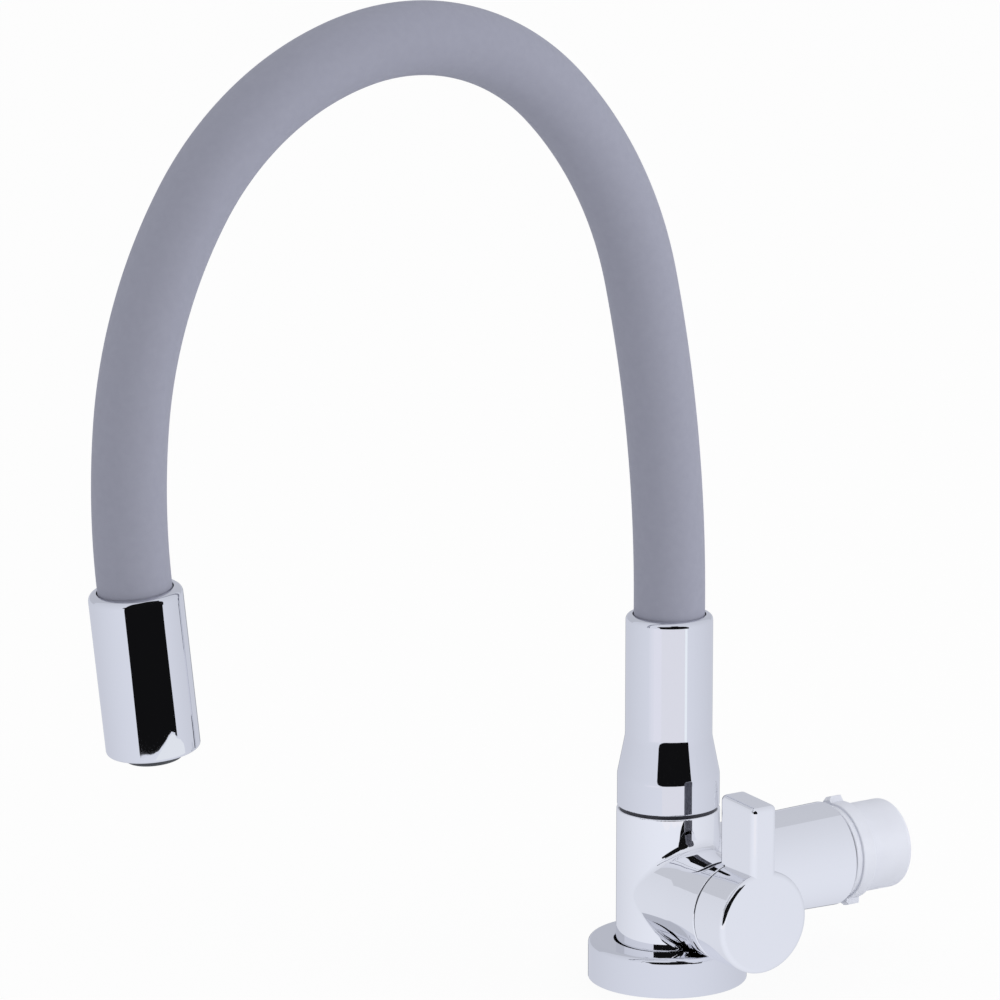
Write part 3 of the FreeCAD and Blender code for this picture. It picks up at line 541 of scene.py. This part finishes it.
# Far cards: a black card behind the camera, a grey card low behind the object and a grey
# back wall above that. They are painted boards that only the polished chrome shows.
LOOK = Vector((0.83, -0.5577, 0.0))      # from the column towards the camera
ACROSS = Vector((0.5577, 0.83, 0.0))     # to the camera's right
WALL_RANGE, WALL_MIDDLE = 2.4, 0.05
BLACK_PAINT, BLACK_LEVEL = (1.0, 1.0, 1.1, 1.0), 0.006
REAR_CARD_LEVEL, BACK_WALL_LEVEL = 0.45, 0.68
FRONT_CARD = ((-15, -9.5), (-20, -8.6), (-23.5, -6), (-26, 0), (-27, 8), (-34, 15),
              (-32, 22), (-26, 29), (-10, 34), (1, 36.5), (6, 46), (24, 46), (28, 36.5),
              (40, 31), (46, 24), (49, 12), (51, 5), (51, -9.5))    # degrees round and up
REAR_CARD_TURNS = (166, 173, 180, 187, 194)
REAR_CARD_LOW, REAR_CARD_HIGH = -1.4, -0.08
BACK_WALL_TURNS = (-114, -130, -146, -162, -178, -194, -210, -221)
BACK_WALL_LOW, BACK_WALL_HIGH = 0.22, 13.6


def card_finish(name, colour, strength):
    """Paint that a reflection sees at one even level."""
    material, shader = new_material(name, (0.0, 0.0, 0.0, 1.0), 1.0)
    shader.inputs["Specular IOR Level"].default_value = 0.0
    shader.inputs["Emission Color"].default_value = colour
    shader.inputs["Emission Strength"].default_value = strength
    return material


def reflected_card(name, points, faces, material):
    """A card that shows in reflections and nowhere else."""
    card = stage_mesh(name, points, faces, material)
    card.visible_camera = False
    card.visible_diffuse = False
    card.visible_shadow = False
    card.visible_transmission = False


def round_column(turn, away, height):
    """A place about the column's axis: degrees from the view, metres away and up."""
    turn = math.radians(turn)
    way = LOOK * math.cos(turn) + ACROSS * math.sin(turn)
    return Vector((0.0, column_y, height)) + away * way


def ribbon(points):
    """Faces between pairs of points, one pair after another."""
    return [(2 * n, 2 * n + 1, 2 * n + 3, 2 * n + 2) for n in range(len(points) // 2 - 1)]


black = card_finish("card_black", BLACK_PAINT, BLACK_LEVEL)
points = []
for turn, rise in FRONT_CARD:
    away = WALL_RANGE / math.cos(math.radians(turn))
    height = WALL_MIDDLE + away * math.tan(math.radians(rise))
    points.append(round_column(turn, away, height))
reflected_card("front_card", points, [tuple(range(len(points)))], black)

points = [round_column(turn, WALL_RANGE, height)
          for turn in REAR_CARD_TURNS for height in (REAR_CARD_LOW, REAR_CARD_HIGH)]
reflected_card("rear_card", points, ribbon(points),
               card_finish("rear_card", STUDIO_TINT, REAR_CARD_LEVEL))

points = [round_column(turn, WALL_RANGE, height)
          for turn in BACK_WALL_TURNS for height in (BACK_WALL_LOW, BACK_WALL_HIGH)]
reflected_card("back_wall", points, ribbon(points),
               card_finish("back_wall", STUDIO_TINT, BACK_WALL_LEVEL))


# Low boards: a curved row of white boards and one bright bar on the camera's side, lower
# than the floor, which reflections pass through. Upright chrome shows them as pale bands.
BOARD_RANGE, BOARD_TOP = 1.2, -0.16
DIM_BOARD = ((-55, -0.272), (-52, -0.272), (-49, -0.272))    # degrees round, foot's height
MID_BOARD = ((-49, -0.272), (-46, -0.272), (-42, -0.272))
COOL_BOARD = ((-42, -0.272), (-32, -0.272), (-21, -0.272))
WHITE_BOARD = ((-21, -0.272), (-16, -0.275), (-15, -0.306), (5, -0.306),
               (20, -0.306), (34, -0.306), (35, -0.275), (41, -0.272))
BRIGHT_BAR = ((41, -0.27), (44, -0.27), (47.5, -0.27))
DIM_PAINT = (0.814, 0.832, 0.920, 1.0)
MID_PAINT = (0.847, 0.857, 0.945, 1.0)
COOL_PAINT = (0.881, 0.883, 0.971, 1.0)
WHITE_PAINT = (0.854, 0.856, 0.924, 1.0)
BAR_PAINT = (0.906, 0.954, 1.0, 1.0)
BOARD_LEVEL, BAR_LEVEL = 1.0, 1.08

LOW_BOARDS = (("dim_board", DIM_BOARD, DIM_PAINT, BOARD_LEVEL),
              ("mid_board", MID_BOARD, MID_PAINT, BOARD_LEVEL),
              ("cool_board", COOL_BOARD, COOL_PAINT, BOARD_LEVEL),
              ("white_board", WHITE_BOARD, WHITE_PAINT, BOARD_LEVEL),
              ("bright_bar", BRIGHT_BAR, BAR_PAINT, BAR_LEVEL))
for name, columns, paint, level in LOW_BOARDS:
    points = [round_column(turn, BOARD_RANGE, height)
              for turn, foot in columns for height in (foot, BOARD_TOP)]
    reflected_card(name, points, ribbon(points), card_finish(name, paint, level))


# Side flag: a black upright sheet with a small white one below it, edge-on to the column,
# so that the nozzle shows its dark stripe and the sleeve shows none of it.
FLAG_TURN = -38
FLAG_ASIDE = 0.0042
SIDE_FLAG = ((503, -81), (345, -9.8), (287.7, 15.1), (258.5, 27.2), (235.8, 36.1),
             (215.5, 43.9), (204.2, 48), (194.3, 51.9), (185.5, 55.1), (174.5, 59),
             (166.6, 61), (162, 61), (157.3, 60.9), (152.8, 60.1), (153.5, 68), (154.6, 78),
             (156, 93.7), (158, 450), (425, 700), (425, 5), (432, -10), (440, -24),
             (462, -45), (487, -68))    # millimetres from the column, and up
SIDE_WHITE = ((228, 36.5), (209.6, 44.6), (194.3, 51.2), (185.5, 54.4), (174.5, 58.3),
              (166.6, 60.3), (157.3, 60.2), (152.8, 59.5), (145, 59.1), (136.1, 57.4),
              (134, 55.8), (134, 35), (228, 20))
SIDE_WHITE_PAINT, SIDE_WHITE_LEVEL = (0.925, 0.953, 1.0, 1.0), 0.97
MILLIMETRE = 0.001

flag_turn = math.radians(FLAG_TURN)
aside = FLAG_ASIDE * (ACROSS * math.cos(flag_turn) - LOOK * math.sin(flag_turn))
side_white = card_finish("side_white", SIDE_WHITE_PAINT, SIDE_WHITE_LEVEL)
for name, outline, paint in (("side_flag", SIDE_FLAG, black),
                             ("side_white", SIDE_WHITE, side_white)):
    points = [aside + round_column(FLAG_TURN, away * MILLIMETRE, height * MILLIMETRE)
              for away, height in outline]
    reflected_card(name, points, [tuple(range(len(points)))], paint)


# Lamp: one large soft disc on the right, aimed at the middle of the object. The chrome
# doesn't show it.
LAMP_PLACE = Vector((1.3, 0.9, 0.3))
LAMP_AIM = Vector((0.0, -0.12, 0.11))
LAMP_SIZE = 1.2
LAMP_POWER = 10.0
lamp = bpy.data.lights.new("right_lamp", "AREA")
lamp.shape = "DISK"
lamp.size = LAMP_SIZE
lamp.energy = LAMP_POWER
lamp_stand = bpy.data.objects.new("right_lamp", lamp)
lamp_stand.location = LAMP_PLACE
lamp_stand.rotation_euler = (LAMP_AIM - LAMP_PLACE).to_track_quat("-Z", "Y").to_euler()
lamp_stand.visible_glossy = False
scene.collection.objects.link(lamp_stand)


# Camera: a long lens, a little above the object and to its front right. Its place is counted
# from the column's axis.
CAMERA_PLACE = Vector((1.47988, column_y - 1.05267, 0.52423))
CAMERA_TURN = math.radians(56.111)
CAMERA_DIP = math.radians(12.735)
LENS, SENSOR = 234.03, 36.0
camera_data = bpy.data.cameras.new("camera")
camera_data.lens = LENS
camera_data.sensor_width = SENSOR
camera = bpy.data.objects.new("camera", camera_data)
camera.location = CAMERA_PLACE
camera.rotation_euler = (math.pi / 2 - CAMERA_DIP, 0.0, CAMERA_TURN)
scene.collection.objects.link(camera)
scene.camera = camera
